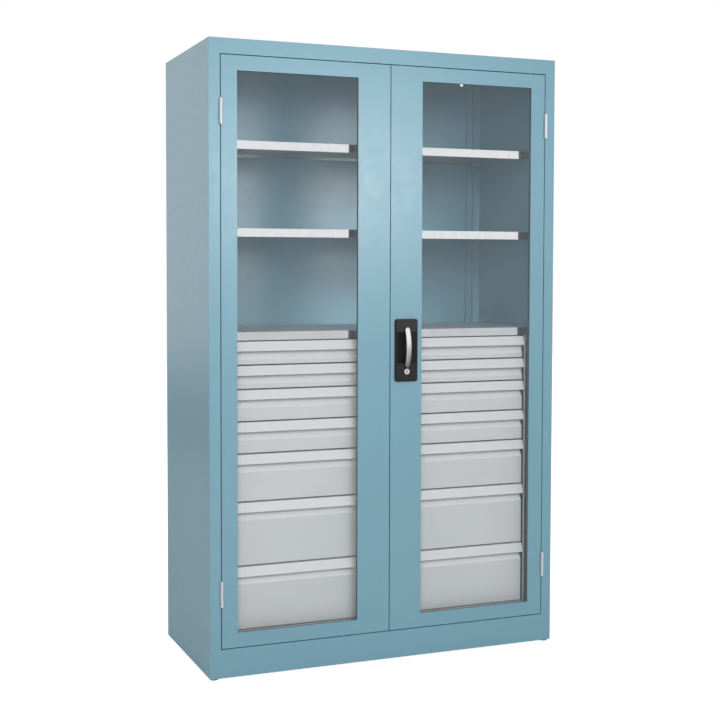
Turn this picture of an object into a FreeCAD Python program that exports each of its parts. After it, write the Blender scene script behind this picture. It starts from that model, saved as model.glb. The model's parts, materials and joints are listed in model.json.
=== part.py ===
import FreeCAD, Part
import os
import re
import sys

import Sketcher

# A two-door steel cabinet with windows: shelves above, two columns of drawers below.
# Millimetres, +Z up, the front faces -Y. The origin lies on the floor, in the middle of the outer box.

SIZES = {
    # Carcase
    "cabinet_width": 1200,
    "cabinet_depth": 500,
    "cabinet_height": 1950,
    "sheet": 1.5,
    "stile_width": 35,
    "stile_return": 24,
    "top_rail_height": 47,
    "plinth_height": 93,
    "base_flange": 30,
    "foot_height": 5,
    "foot_radius": 13,
    "foot_setback": 16,
    "stem_radius": 4,
    "stem_length": 22,
    "stem_clearance": 0.3,
    "wall_hole_radius": 6.5,
    "wall_hole_spacing": 1042,
    "wall_hole_drop": 13,
    "overrun": 5,
    # Doors and windows
    "door_gap": 3,
    "door_depth": 20,
    "door_lip": 12,
    "hinge_stile": 51,
    "lock_stile": 110,
    "window_rail": 45,
    "window_flange": 3,
    "pane_thickness": 4,
    "pane_lap": 10,
    "seal_lip": 2,
    "seal_edge": 3,
    # Hinges
    "barrel_radius": 5,
    "barrel_length": 77,
    "barrel_stand_off": 0.3,
    "hinge_margin": 169,
    "knuckle_gap": 0.8,
    "pin_radius": 3,
    "pin_fit": 0.05,
    "leaf_thickness": 2,
    "leaf_depth": 16,
    # Handle and lock
    "handle_setback": 53,
    "escutcheon_width": 77,
    "escutcheon_height": 200,
    "escutcheon_depth": 10,
    "escutcheon_radius": 8,
    "escutcheon_edge": 2,
    "recess_width": 72,
    "recess_height": 99,
    "recess_rise": 8.5,
    "recess_floor": 2,
    "lever_width": 17,
    "lever_thickness": 8,
    "lever_bow": 11,
    "lever_span": 110,
    "lever_rise": 64.5,
    "lever_gap": 0.5,
    "spindle_radius": 6,
    "spindle_fit": 0.08,
    "plug_radius": 9,
    "plug_drop": 68,
    "plug_stand_off": 1.5,
    "plug_tail": 8,
    "key_slot_width": 3,
    "key_slot_height": 10.5,
    "key_slot_depth": 4,
    "gearbox_half_height": 38,
    "gearbox_depth": 14,
    "gearbox_wall": 4,
    "rod_width": 10,
    "rod_depth": 6,
    "rod_clearance": 0.35,
    "rod_overlap": 20,
    "guide_height": 24,
    "guide_margin": 110,
    # Drawers
    "drawer_inset": 45,
    "drawer_gap": 4.5,
    "drawer_front_margin": 10,
    "row_1_height": 75,
    "row_2_height": 75,
    "row_3_height": 100,
    "row_4_height": 100,
    "row_5_height": 150,
    "row_6_height": 200,
    "row_7_height": 200,
    "grip_top_reach": 6,
    "grip_reach": 15,
    "grip_height": 29,
    "grip_recess": 15,
    "grip_seat": 2,
    "grip_slope_height": 25,
    "front_top_flange": 14,
    "front_bottom_flange": 12,
    "tray_length": 385,
    "tray_lift": 6,
    "tray_drop": 14,
    # Drawer block
    "bank_clear_width": 520,
    "block_setback": 50,
    "block_wall_flange": 6,
    "base_rail_height": 38,
    "base_rail_return": 20,
    "stack_clearance": 2,
    "cover_clearance": 4,
    "runner_width": 12.5,
    "runner_height": 34,
    "runner_lift": 14,
    "runner_length": 395,
    "runner_setback": 2.5,
    "runner_clearance": 0.4,
    # Shelves
    "shelf_setback": 39,
    "shelf_height": 25.5,
    "shelf_back_height": 8,
    "shelf_return": 25,
    "shelf_clearance": 2,
    "middle_shelf_top": 1382,
    "upper_shelf_top": 1650,
    "upright_width": 28.5,
    "upright_depth": 10,
    "upright_margin": 32,
    "upright_setback": 50,
    "upright_end_gap": 2,
    "slot_width": 13,
    "slot_height": 5,
    "slot_pitch": 25,
    "bracket_width": 16,
    "bracket_drop": 25,
    "bracket_reach": 18,
}

ROWS = range(1, 8)
SIDES = {"left": -1, "right": 1}
# Both walls of a drawer column: the distance from the middle plane, and the way into the column
BANK_WALLS = {"outer": ("bank_outer", -1), "inner": ("partition_face", 1)}
# Where the glides stand, and the heights of the hinges
FOOT_ENDS = {"front": "front_plane + foot_setback", "rear": "back_plane - foot_setback"}
HINGES = {"lower": "lower_hinge_z", "upper": "upper_hinge_z"}
# The side of the spindle that each lock rod runs on
RODS = {"upper": -1, "lower": 1}


def row_sum(first):
    """The height of the drawer rows from one row down to the last."""
    return " + ".join(f"row_{row}_height" for row in ROWS if row >= first)


# Places worked out from the sizes. Places along X are distances from the cabinet's middle plane.
PLACES = {
    "half_width": "cabinet_width / 2",
    "lever_reach": "escutcheon_depth + lever_gap + lever_thickness + lever_bow",
    "front_plane": "(lever_reach - cabinet_depth) / 2",
    "back_plane": "front_plane + cabinet_depth",
    "inside_half_width": "half_width - sheet",
    "stile_edge": "half_width - stile_width",
    "door_inner": "door_gap / 2",
    "door_outer": "stile_edge - door_gap",
    "door_bottom": "plinth_height + door_gap",
    "door_top": "cabinet_height - top_rail_height - door_gap",
    "window_inner": "door_inner + lock_stile",
    "window_outer": "door_outer - hinge_stile",
    "window_bottom": "door_bottom + window_rail",
    "window_top": "door_top - window_rail",
    "pane_front": "front_plane + window_flange + seal_lip",
    "pane_back": "pane_front + pane_thickness",
    "barrel_x": "stile_edge - door_gap / 2",
    "barrel_y": "front_plane - barrel_radius - barrel_stand_off",
    "lower_hinge_z": "door_bottom + hinge_margin",
    "upper_hinge_z": "door_top - hinge_margin",
    "handle_x": "door_inner + handle_setback",
    "handle_z": "(door_bottom + door_top) / 2",
    "plate_face": "front_plane - escutcheon_depth",
    "recess_back": "front_plane - recess_floor",
    "recess_depth": "recess_back - plate_face",
    "scoop_radius": "recess_width ^ 2 / (8 * recess_depth) + recess_depth / 2",
    "pivot_z": "handle_z + lever_rise",
    "lever_low_z": "pivot_z - lever_span",
    "lever_front": "front_plane - lever_reach",
    "lever_back": "plate_face - lever_gap",
    "bow_radius": "lever_span ^ 2 / (8 * lever_bow) + lever_bow / 2",
    "bow_y": "lever_front + bow_radius",
    "bow_z": "(pivot_z + lever_low_z) / 2",
    "plug_z": "handle_z - plug_drop",
    "gearbox_back": "front_plane + sheet + gearbox_depth",
    "spindle_end": "gearbox_back - sheet",
    "rod_y": "front_plane + sheet + gearbox_depth / 2",
    "rod_offset": "spindle_radius + gearbox_wall + rod_clearance + rod_width / 2",
    "gearbox_half_width": "rod_offset + rod_width / 2 + rod_clearance + gearbox_wall",
    "floor_top": "plinth_height",
    "partition_face": "sheet / 2",
    "bank_outer": "partition_face + bank_clear_width",
    "bank_middle": "partition_face + bank_clear_width / 2",
    "drawer_front_width": "bank_clear_width - 2 * drawer_front_margin",
    "block_front": "front_plane + block_setback",
    "base_rail_top": "floor_top + base_rail_height",
    "stack_bottom": "base_rail_top + stack_clearance",
    "cover_bottom": "stack_bottom + " + row_sum(1) + " + cover_clearance",
    "cover_top": "cover_bottom + shelf_height",
    "drawer_face": "front_plane + drawer_inset",
    "tray_front": "drawer_face + grip_recess + sheet",
    "tray_back": "tray_front + tray_length",
    "runner_front": "tray_front + runner_setback",
    "upright_bottom": "cover_top + upright_end_gap",
    "upright_top": "cabinet_height - sheet - upright_end_gap",
    "upright_face": "back_plane - sheet - upright_depth",
    "rear_web": "upright_face + upright_depth - sheet",
    "rear_upright_x": "inside_half_width - upright_margin - upright_width / 2",
    "front_upright_x": "inside_half_width - upright_depth",
    "side_web": "front_upright_x + upright_depth - sheet",
    "front_upright_y": "front_plane + upright_setback + upright_width / 2",
    "shelf_front": "front_plane + shelf_setback",
    "shelf_half_width": "front_upright_x - shelf_clearance",
    "shelf_depth": "upright_face - shelf_clearance - shelf_front",
}

# Sections of a shelf's back edge: folded down and returned, or only folded down
RETURNED_EDGE = [
    ("shelf_depth", "-(shelf_height)"),
    ("shelf_depth - shelf_return", "-(shelf_height)"),
    ("shelf_depth - shelf_return", "sheet - shelf_height"),
    ("shelf_depth - sheet", "sheet - shelf_height"),
    ("shelf_depth - sheet", "-(sheet)"),
]
FOLDED_EDGE = [
    ("shelf_depth", "-(shelf_back_height)"),
    ("shelf_depth - sheet", "-(shelf_back_height)"),
    ("shelf_depth - sheet", "-(sheet)"),
]

# Spans along Y that several folded pieces share
FRONT_SKIN = ("front_plane", "front_plane + sheet")
FRONT_RETURN = ("front_plane", "front_plane + stile_return")

doc = FreeCAD.newDocument("Cabinet")
nodes = []


def write_sheet():
    """Puts every size in a cell of its own, with its name as the alias."""
    sheet = doc.addObject("Spreadsheet::Sheet", "Sizes")
    for row, (alias, value) in enumerate(SIZES.items(), start=1):
        sheet.set(f"A{row}", alias.replace("_", " "))
        sheet.set(f"B{row}", str(value))
        sheet.setAlias(f"B{row}", alias)
    doc.recompute()
    return sheet


sizes = write_sheet()


def formula(text):
    """Spells a formula out: a size becomes its cell, a place becomes its own formula."""

    def spell(match):
        word = match.group()
        if word in SIZES:
            return f"Sizes.{word}"
        if word in PLACES:
            return f"({formula(PLACES[word])})"
        return word

    return re.sub(r"[a-z]\w*", spell, text)


def number(text):
    return float(sizes.evalExpression(formula(text)))


def place(thing, x="0", y="0", z="0", turn=FreeCAD.Rotation()):
    """Sets a thing down at a place, turned as asked."""
    thing.Placement = FreeCAD.Placement(FreeCAD.Vector(), turn)
    for axis, text in zip("xyz", (x, y, z)):
        thing.setExpression(f"Placement.Base.{axis}", formula(text))
    return thing


def node(label, thing):
    """Keeps a finished sub-part under its own name."""
    thing.Label = label
    nodes.append(thing)
    return thing


def across(side, near, far):
    """The span along X between two distances from the middle plane, on one side of it."""
    if SIDES[side] > 0:
        return near, far
    return f"-({far})", f"-({near})"


def about(middle, half):
    """The span of a half width on both sides of a place."""
    return f"{middle} - ({half})", f"{middle} + ({half})"


def wider(span, extra):
    """A span drawn out at both ends."""
    low, high = span
    return f"{low} - ({extra})", f"{high} + ({extra})"


def below(top, drop):
    """The span from a given drop under a height up to it."""
    return f"{top} - ({drop})", top


def block(name, x, y, z):
    """A box between two places on each axis."""
    solid = doc.addObject("Part::Box", name)
    for side, (low, high) in zip(("Length", "Width", "Height"), (x, y, z)):
        solid.setExpression(side, formula(f"({high}) - ({low})"))
    return place(solid, x[0], y[0], z[0])


ALONG_Y = FreeCAD.Rotation(FreeCAD.Vector(1, 0, 0), -90)
ALONG_X = FreeCAD.Rotation(FreeCAD.Vector(0, 1, 0), 90)


def bar(name, radius, span):
    """A round bar of a given span, still to be set down."""
    solid = doc.addObject("Part::Cylinder", name)
    solid.setExpression("Radius", formula(radius))
    solid.setExpression("Height", formula(f"({span[1]}) - ({span[0]})"))
    return solid


def bar_x(name, radius, x, y, z):
    return place(bar(name, radius, x), x[0], y, z, ALONG_X)


def bar_y(name, radius, x, y, z):
    return place(bar(name, radius, y), x, y[0], z, ALONG_Y)


def bar_z(name, radius, x, y, z):
    return place(bar(name, radius, z), x, y, z[0])


def fuse(name, *solids):
    whole = doc.addObject("Part::MultiFuse", name)
    whole.Shapes = list(solids)
    whole.Refine = True
    return whole


def cut(name, base, *tools):
    whole = doc.addObject("Part::Cut", name)
    whole.Base = base
    whole.Tool = tools[0] if len(tools) == 1 else fuse(f"{name}_tools", *tools)
    whole.Refine = True
    return whole


def common(name, one, other):
    whole = doc.addObject("Part::Common", name)
    whole.Base = one
    whole.Tool = other
    whole.Refine = True
    return whole


def together(name, solids):
    """Separate solids kept in one sub-part."""
    whole = doc.addObject("Part::Compound", name)
    whole.Links = list(solids)
    return whole


def outline(body, name, plane, points):
    """A closed sketch through named places on one of the body's own planes."""
    sketch = body.newObject("Sketcher::SketchObject", name)
    support = next(part for part in body.Origin.OriginFeatures if part.Role == plane)
    sketch.AttachmentSupport = (support, [""])
    sketch.MapMode = "FlatFace"
    corners = [FreeCAD.Vector(number(u), number(v), 0) for u, v in points]
    for start, end in zip(corners, corners[1:] + corners[:1]):
        sketch.addGeometry(Part.LineSegment(start, end))
    for index in range(len(corners)):
        following = (index + 1) % len(corners)
        sketch.addConstraint(Sketcher.Constraint("Coincident", index, 2, following, 1))
    for index, texts in enumerate(points):
        for kind, axis, text in zip(("DistanceX", "DistanceY"), (-2, -1), texts):
            if text == "0":
                sketch.addConstraint(Sketcher.Constraint("PointOnObject", index, 1, axis))
                continue
            value = number(text)
            ends = (-1, 1, index, 1) if value > 0 else (index, 1, -1, 1)
            signed = text if value > 0 else f"-({text})"
            held = sketch.addConstraint(Sketcher.Constraint(kind, *ends, abs(value)))
            sketch.setExpression(f"Constraints[{held}]", formula(signed))
    return sketch


def rectangle(u, v):
    """The corners of a rectangle between two places on each axis of a sketch."""
    return [(u[0], v[0]), (u[1], v[0]), (u[1], v[1]), (u[0], v[1])]


def padded(name, plane, points, length):
    """A body padded from an outline."""
    body = doc.addObject("PartDesign::Body", name)
    sketch = outline(body, f"{name}_outline", plane, points)
    pad = body.newObject("PartDesign::Pad", f"{name}_pad")
    pad.Profile = sketch
    pad.setExpression("Length", formula(length))
    return body


def side_panel(side):
    """A side wall folded round into the front stile, with a flange at its foot for the glides."""
    name = f"{side}_side_panel"
    full = ("foot_height", "cabinet_height")
    wall = block(
        f"{name}_wall",
        across(side, "inside_half_width", "half_width"),
        ("front_plane", "back_plane"),
        full,
    )
    stile = block(f"{name}_stile", across(side, "stile_edge", "half_width"), FRONT_SKIN, full)
    fold = block(
        f"{name}_return",
        across(side, "stile_edge", "stile_edge + sheet"),
        FRONT_RETURN,
        ("foot_height", "cabinet_height - sheet"),
    )
    flange = block(
        f"{name}_flange",
        across(side, "inside_half_width - base_flange", "inside_half_width"),
        ("front_plane + stile_return", "back_plane - sheet"),
        ("foot_height", "foot_height + sheet"),
    )
    hole_radius = "stem_radius + stem_clearance"
    stem_holes = [
        bar_z(f"{name}_stem_hole_{end}", hole_radius, foot_x(side), y, ("0", "stem_length"))
        for end, y in FOOT_ENDS.items()
    ]
    node(name, cut(name, fuse(f"{name}_folded", wall, stile, fold, flange), *stem_holes))


def foot_x(side):
    return across(side, "inside_half_width - base_flange / 2", "half_width")[SIDES[side] < 0]


def levelling_feet():
    """A glide on a threaded stem under each corner."""
    feet = []
    for side in SIDES:
        for end, y in FOOT_ENDS.items():
            name = f"foot_{side}_{end}"
            glide = bar_z(f"{name}_glide", "foot_radius", foot_x(side), y, ("0", "foot_height"))
            stem = bar_z(f"{name}_stem", "stem_radius", foot_x(side), y, ("0", "stem_length"))
            feet.append(fuse(name, glide, stem))
    node("levelling_feet", together("levelling_feet", feet))


def roof_panel():
    """The roof sheet with the front rail folded down from it and returned inwards."""
    rail_x = ("-(stile_edge)", "stile_edge")
    rail_bottom = "cabinet_height - top_rail_height"
    roof = block(
        "roof_sheet",
        ("-(inside_half_width)", "inside_half_width"),
        ("front_plane + sheet", "back_plane - sheet"),
        ("cabinet_height - sheet", "cabinet_height"),
    )
    rail = block("roof_rail", rail_x, FRONT_SKIN, (rail_bottom, "cabinet_height"))
    fold = block("roof_return", rail_x, FRONT_RETURN, (rail_bottom, f"{rail_bottom} + sheet"))
    node("roof_panel", fuse("roof_panel", roof, rail, fold))


def floor_and_plinth():
    """The floor sheet, and the plinth front that is returned under the doors to meet it."""
    floor = block(
        "floor_panel",
        ("-(inside_half_width)", "inside_half_width"),
        ("front_plane + stile_return", "back_plane - sheet"),
        ("floor_top - sheet", "floor_top"),
    )
    node("floor_panel", floor)
    plinth_x = ("-(stile_edge)", "stile_edge")
    face = block("plinth_face", plinth_x, FRONT_SKIN, ("foot_height", "plinth_height"))
    folds = [
        block(f"plinth_{end}_return", plinth_x, FRONT_RETURN, (z, f"{z} + sheet"))
        for end, z in {"lower": "foot_height", "upper": "plinth_height - sheet"}.items()
    ]
    node("plinth_front", fuse("plinth_front", face, *folds))


def back_panel():
    """The back sheet, with a hole near each upper corner for fixing the cabinet to a wall."""
    sheet = block(
        "back_sheet",
        ("-(inside_half_width)", "inside_half_width"),
        ("back_plane - sheet", "back_plane"),
        ("foot_height", "cabinet_height"),
    )
    holes = [
        bar_y(
            f"wall_hole_{side}",
            "wall_hole_radius",
            f"{sign} * wall_hole_spacing / 2",
            ("back_plane - sheet - overrun", "back_plane + overrun"),
            "cabinet_height - wall_hole_drop",
        )
        for side, sign in SIDES.items()
    ]
    node("back_panel", cut("back_panel", sheet, *holes))


def drawer_block():
    """The walls and the base rails that carry the two columns of drawers."""
    deep = ("block_front", "back_plane - sheet")
    tall = ("floor_top", "cover_bottom")
    walls, rails = [], []
    for side in SIDES:
        wall = block(f"block_wall_{side}", across(side, "bank_outer", "bank_outer + sheet"), deep, tall)
        edge = block(
            f"block_wall_flange_{side}",
            across(side, "bank_outer", "bank_outer + block_wall_flange"),
            ("block_front", "block_front + sheet"),
            tall,
        )
        walls.append(fuse(f"block_side_wall_{side}", wall, edge))
        rail_x = across(side, "partition_face", "bank_outer")
        face = block(
            f"base_rail_face_{side}",
            rail_x,
            ("block_front", "block_front + sheet"),
            ("floor_top", "base_rail_top"),
        )
        fold = block(
            f"base_rail_return_{side}",
            rail_x,
            ("block_front", "block_front + base_rail_return"),
            ("base_rail_top - sheet", "base_rail_top"),
        )
        rails.append(fuse(f"base_rail_{side}", face, fold))
    node("block_side_walls", together("block_side_walls", walls))
    node("base_rails", together("base_rails", rails))
    node("centre_partition", block("centre_partition", ("-(partition_face)", "partition_face"), deep, tall))


def row_bottom(row):
    return "stack_bottom" if row == ROWS[-1] else f"stack_bottom + {row_sum(row + 1)}"


def runner_z(row):
    low = f"{row_bottom(row)} + runner_lift"
    return low, f"{low} + runner_height"


def inward(side, wall, inwards, near, far):
    """A span that starts a given distance inside a wall of the column and ends at another."""
    low, high = (near, far) if inwards > 0 else (f"-({far})", f"-({near})")
    return across(side, f"{wall} + ({low})", f"{wall} + ({high})")


def drawer_runners():
    """A channel on the wall at both sides of each drawer."""
    channels = []
    for side in SIDES:
        for row in ROWS:
            low, high = runner_z(row)
            for end, (wall, inwards) in BANK_WALLS.items():
                name = f"runner_{side}_{row}_{end}"
                span_y = ("runner_front", "runner_front + runner_length")
                whole = block(
                    f"{name}_bar", inward(side, wall, inwards, "0", "runner_width"), span_y, (low, high)
                )
                hollow = block(
                    f"{name}_hollow",
                    inward(side, wall, inwards, "sheet", "runner_width + overrun"),
                    wider(span_y, "overrun"),
                    (f"{low} + sheet", f"{high} - sheet"),
                )
                channels.append(cut(name, whole, hollow))
    node("drawer_runners", together("drawer_runners", channels))


def front_outline(row):
    """The folded section of a drawer front: outer face from the top down, inner face back up."""
    lip_z = "-(grip_height)"
    seat_z = "-(grip_height + grip_seat)"
    slope_z = "-(grip_height + grip_seat + grip_slope_height)"
    low_z = f"drawer_gap - row_{row}_height"
    return [
        ("front_top_flange", "0"),
        ("-(grip_top_reach)", "0"),
        ("-(grip_reach)", lip_z),
        ("grip_recess", lip_z),
        ("grip_recess", seat_z),
        ("0", slope_z),
        ("0", low_z),
        ("front_bottom_flange", low_z),
        ("front_bottom_flange", f"{low_z} + sheet"),
        ("sheet", f"{low_z} + sheet"),
        ("sheet", slope_z),
        ("grip_recess + sheet", seat_z),
        ("grip_recess + sheet", f"{lip_z} + sheet"),
        ("sheet - grip_reach", f"{lip_z} + sheet"),
        ("sheet - grip_top_reach", "-(sheet)"),
        ("front_top_flange", "-(sheet)"),
    ]


def drawer(side, row):
    """A formed front with a grip strip, and the tray behind it with its runner members."""
    name = f"{side}_drawer_{row}"
    front = padded(f"{name}_front", "YZ_Plane", front_outline(row), "drawer_front_width")
    front_x = across(side, "bank_middle - drawer_front_width / 2", "bank_middle + drawer_front_width / 2")
    place(front, front_x[0], "drawer_face", f"{row_bottom(row)} + row_{row}_height")
    node(f"{name}_front", front)

    tray_x = across(side, "partition_face + runner_width", "bank_outer - runner_width")
    tray_y = ("tray_front", "tray_back")
    low, high = f"{row_bottom(row)} + tray_lift", f"{row_bottom(row)} + row_{row}_height - tray_drop"
    whole = block(f"{name}_tray_whole", tray_x, tray_y, (low, high))
    hollow = block(
        f"{name}_tray_hollow",
        wider(tray_x, "-(sheet)"),
        wider(tray_y, "-(sheet)"),
        (f"{low} + sheet", f"{high} + overrun"),
    )
    pieces = [cut(f"{name}_tray_shell", whole, hollow)]
    member_z = wider(runner_z(row), "-(sheet + runner_clearance)")
    for end, (wall, inwards) in BANK_WALLS.items():
        member_x = inward(side, wall, inwards, "sheet + runner_clearance", "runner_width")
        pieces.append(block(f"{name}_member_{end}", member_x, tray_y, member_z))
    node(f"{name}_tray", together(f"{name}_tray", pieces))


def shelf(name, half_width, top, back_edge):
    """A shelf with its front edge folded down and returned, and the given section of its back edge."""
    section = [
        ("0", "0"),
        ("shelf_depth", "0"),
        *back_edge,
        ("sheet", "-(sheet)"),
        ("sheet", "sheet - shelf_height"),
        ("shelf_return", "sheet - shelf_height"),
        ("shelf_return", "-(shelf_height)"),
        ("0", "-(shelf_height)"),
    ]
    body = padded(name, "YZ_Plane", section, f"2 * ({half_width})")
    node(name, place(body, f"-({half_width})", "shelf_front", top))


def upright(name):
    """A channel open towards -Y, with a row of slots in its web, ready to be turned and set down."""
    half, depth = "upright_width / 2", "upright_depth"
    section = [
        (f"-({half})", "0"),
        (f"sheet - {half}", "0"),
        (f"sheet - {half}", f"{depth} - sheet"),
        (f"{half} - sheet", f"{depth} - sheet"),
        (f"{half} - sheet", "0"),
        (half, "0"),
        (half, depth),
        (f"-({half})", depth),
    ]
    body = padded(name, "XY_Plane", section, "upright_top - upright_bottom")
    doc.recompute()
    first = "slot_pitch / 2"
    corners = rectangle(about("0", "slot_width / 2"), about(first, "slot_height / 2"))
    slot = outline(body, f"{name}_slot", "XZ_Plane", corners)
    pocket = body.newObject("PartDesign::Pocket", f"{name}_pocket")
    pocket.Profile = slot
    pocket.setExpression("Length", formula("2 * (upright_depth + overrun)"))
    pocket.Midplane = True
    pattern = body.newObject("PartDesign::LinearPattern", f"{name}_slots")
    pattern.Originals = [pocket]
    pattern.Direction = (slot, ["V_Axis"])
    slot_count = "floor((upright_top - upright_bottom) / slot_pitch)"
    pattern.setExpression("Occurrences", formula(slot_count))
    pattern.setExpression("Length", formula(f"({slot_count} - 1) * slot_pitch"))
    body.Tip = pattern
    return body


def shelf_uprights():
    """Two slotted uprights on the back panel and one on each side wall near the front."""
    uprights = []
    for side, sign in SIDES.items():
        rear = upright(f"upright_{side}_rear")
        place(rear, f"{sign} * (rear_upright_x)", "upright_face", "upright_bottom")
        front = upright(f"upright_{side}_front")
        inwards = FreeCAD.Rotation(FreeCAD.Vector(0, 0, 1), -90 * sign)
        place(front, f"{sign} * (front_upright_x)", "front_upright_y", "upright_bottom", inwards)
        uprights += [rear, front]
    node("shelf_uprights", together("shelf_uprights", uprights))


def shelf_brackets():
    """An angle in each upright's channel under each loose shelf."""
    brackets = []
    for level in ("middle", "upper"):
        front_seat = f"{level}_shelf_top - shelf_height"
        rear_seat = f"{level}_shelf_top - shelf_back_height"
        for side in SIDES:
            rear_x = about(f"{SIDES[side]} * (rear_upright_x)", "bracket_width / 2")
            front_y = about("front_upright_y", "bracket_width / 2")
            web_x = across(side, "side_web - sheet", "side_web")
            ledge_x = across(side, "front_upright_x - bracket_reach", "side_web")
            name = f"bracket_{level}_{side}"
            rear_y = ("upright_face - bracket_reach", "rear_web")
            rear_ledge = block(f"{name}_rear_ledge", rear_x, rear_y, below(rear_seat, "sheet"))
            rear_web_y = ("rear_web - sheet", "rear_web")
            rear_web = block(f"{name}_rear_web", rear_x, rear_web_y, below(rear_seat, "bracket_drop"))
            front_ledge = block(f"{name}_front_ledge", ledge_x, front_y, below(front_seat, "sheet"))
            front_web = block(f"{name}_front_web", web_x, front_y, below(front_seat, "bracket_drop"))
            brackets.append(fuse(f"{name}_rear", rear_ledge, rear_web))
            brackets.append(fuse(f"{name}_front", front_ledge, front_web))
    node("shelf_brackets", together("shelf_brackets", brackets))


def window_ring(name, side, growth, y):
    """A block over the window and a named growth beyond its edges."""
    window_x = across(side, "window_inner", "window_outer")
    return block(name, wider(window_x, growth), y, wider(("window_bottom", "window_top"), growth))


def door(side, *holes):
    """A folded door leaf with its window, the pane and the seal that holds it."""
    name = f"{side}_door_panel"
    door_x = across(side, "door_inner", "door_outer")
    door_z = ("door_bottom", "door_top")
    back = "front_plane + door_depth"
    whole = block(f"{name}_whole", door_x, ("front_plane", back), door_z)
    hollow = block(
        f"{name}_hollow",
        wider(door_x, "-(sheet)"),
        ("front_plane + sheet", f"{back} - sheet"),
        wider(door_z, "-(sheet)"),
    )
    mouth = block(
        f"{name}_mouth",
        wider(door_x, "-(door_lip)"),
        ("front_plane + sheet", f"{back} + overrun"),
        wider(door_z, "-(door_lip)"),
    )
    flange = window_ring(f"{name}_flange", side, "sheet", ("front_plane", "front_plane + window_flange"))
    channel = cut(f"{name}_channel", fuse(f"{name}_inside", hollow, mouth), flange)
    window = window_ring(f"{name}_window", side, "0", ("front_plane - overrun", f"{back} + overrun"))
    node(name, cut(name, whole, channel, window, *holes))

    pane = window_ring(f"{side}_window_pane", side, "pane_lap", ("pane_front", "pane_back"))
    node(f"{side}_window_pane", pane)
    name = f"{side}_window_seal"
    seal_y = ("pane_front - seal_lip", "pane_back + seal_lip")
    band = window_ring(f"{name}_band", side, "pane_lap + seal_edge", seal_y)
    groove = window_ring(f"{name}_groove", side, "pane_lap", ("pane_front", "pane_back"))
    sight = window_ring(f"{name}_sight", side, "0", wider(seal_y, "overrun"))
    node(name, cut(name, band, groove, sight))


def hinges():
    """Lift-off hinges: the lower half with its pin is on the frame, the upper half on the door."""
    frame_halves = []
    for side in SIDES:
        door_halves = []
        axis_x = across(side, "barrel_x", "half_width")[SIDES[side] < 0]
        for level, middle in HINGES.items():
            low = (f"{middle} - barrel_length / 2", f"{middle} - knuckle_gap / 2")
            high = (f"{middle} + knuckle_gap / 2", f"{middle} + barrel_length / 2")
            leaf_y = ("barrel_y", "front_plane + leaf_depth")
            name = f"hinge_{side}_{level}"
            knuckle = bar_z(f"{name}_frame_barrel", "barrel_radius", axis_x, "barrel_y", low)
            pin_z = (low[0], f"{high[1]} - knuckle_gap")
            pin = bar_z(f"{name}_pin", "pin_radius", axis_x, "barrel_y", pin_z)
            leaf_x = across(side, "stile_edge - leaf_thickness", "stile_edge")
            leaf = block(f"{name}_frame_leaf", leaf_x, leaf_y, low)
            frame_halves.append(fuse(f"{name}_frame_half", knuckle, pin, leaf))

            knuckle = bar_z(f"{name}_door_barrel", "barrel_radius", axis_x, "barrel_y", high)
            leaf_x = across(side, "door_outer", "door_outer + leaf_thickness")
            leaf = block(f"{name}_door_leaf", leaf_x, leaf_y, high)
            bore = bar_z(f"{name}_bore", "pin_radius + pin_fit", axis_x, "barrel_y", wider(high, "overrun"))
            door_halves.append(cut(f"{name}_door_half", fuse(f"{name}_door_knuckle", knuckle, leaf), bore))
        node(f"{side}_door_knuckles", together(f"{side}_door_knuckles", door_halves))
    node("frame_hinge_knuckles", together("frame_hinge_knuckles", frame_halves))


def rod_x(rod):
    return f"handle_x + {RODS[rod]} * (rod_offset)"


def rod_way(name, rod, z):
    """The clear way of a lock rod over a span of heights."""
    return block(
        name,
        about(rod_x(rod), "rod_width / 2 + rod_clearance"),
        about("rod_y", "rod_depth / 2 + rod_clearance"),
        z,
    )


def door_holes():
    """What the lock needs cut through the right door: spindle, plug and the ways of the two rods."""
    through = ("front_plane - overrun", "front_plane + overrun")
    return [
        bar_y("door_spindle_hole", "spindle_radius + rod_clearance", "handle_x", through, "pivot_z"),
        bar_y("door_plug_hole", "plug_radius + rod_clearance", "handle_x", through, "plug_z"),
        rod_way("door_upper_way", "upper", ("door_top - overrun", "door_top + overrun")),
        rod_way("door_lower_way", "lower", ("door_bottom - overrun", "door_bottom + overrun")),
    ]


def escutcheon():
    """The moulded plate under the lever, with rounded corners, a scooped finger recess and two bores."""
    corners = rectangle(about("0", "escutcheon_width / 2"), about("0", "escutcheon_height / 2"))
    body = padded("escutcheon", "XZ_Plane", corners, "escutcheon_depth")
    place(body, "handle_x", "front_plane", "handle_z")
    doc.recompute()

    def round_off(name, radius, wanted):
        base = body.Tip
        names = [f"Edge{index}" for index, edge in enumerate(base.Shape.Edges, start=1) if wanted(edge)]
        fillet = body.newObject("PartDesign::Fillet", name)
        fillet.Base = (base, names)
        fillet.setExpression("Radius", formula(radius))
        doc.recompute()

    def runs_along_y(edge):
        start, end = edge.Vertexes
        return start.X == end.X and start.Z == end.Z

    def on_the_face(edge):
        return all(vertex.Y == edge_front for vertex in edge.Vertexes)

    round_off("escutcheon_corners", "escutcheon_radius", runs_along_y)
    edge_front = min(vertex.Y for vertex in body.Tip.Shape.Vertexes)
    round_off("escutcheon_rim", "escutcheon_edge", on_the_face)
    recess = bar_z(
        "escutcheon_recess",
        "scoop_radius",
        "handle_x",
        "recess_back - scoop_radius",
        about("handle_z + recess_rise", "recess_height / 2"),
    )
    through = ("plate_face - overrun", "front_plane + overrun")
    bores = [
        bar_y(f"escutcheon_{name}_bore", f"{name}_radius + spindle_fit", "handle_x", through, z)
        for name, z in {"spindle": "pivot_z", "plug": "plug_z"}.items()
    ]
    node("handle_escutcheon", cut("handle_escutcheon", body, recess, *bores))


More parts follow.
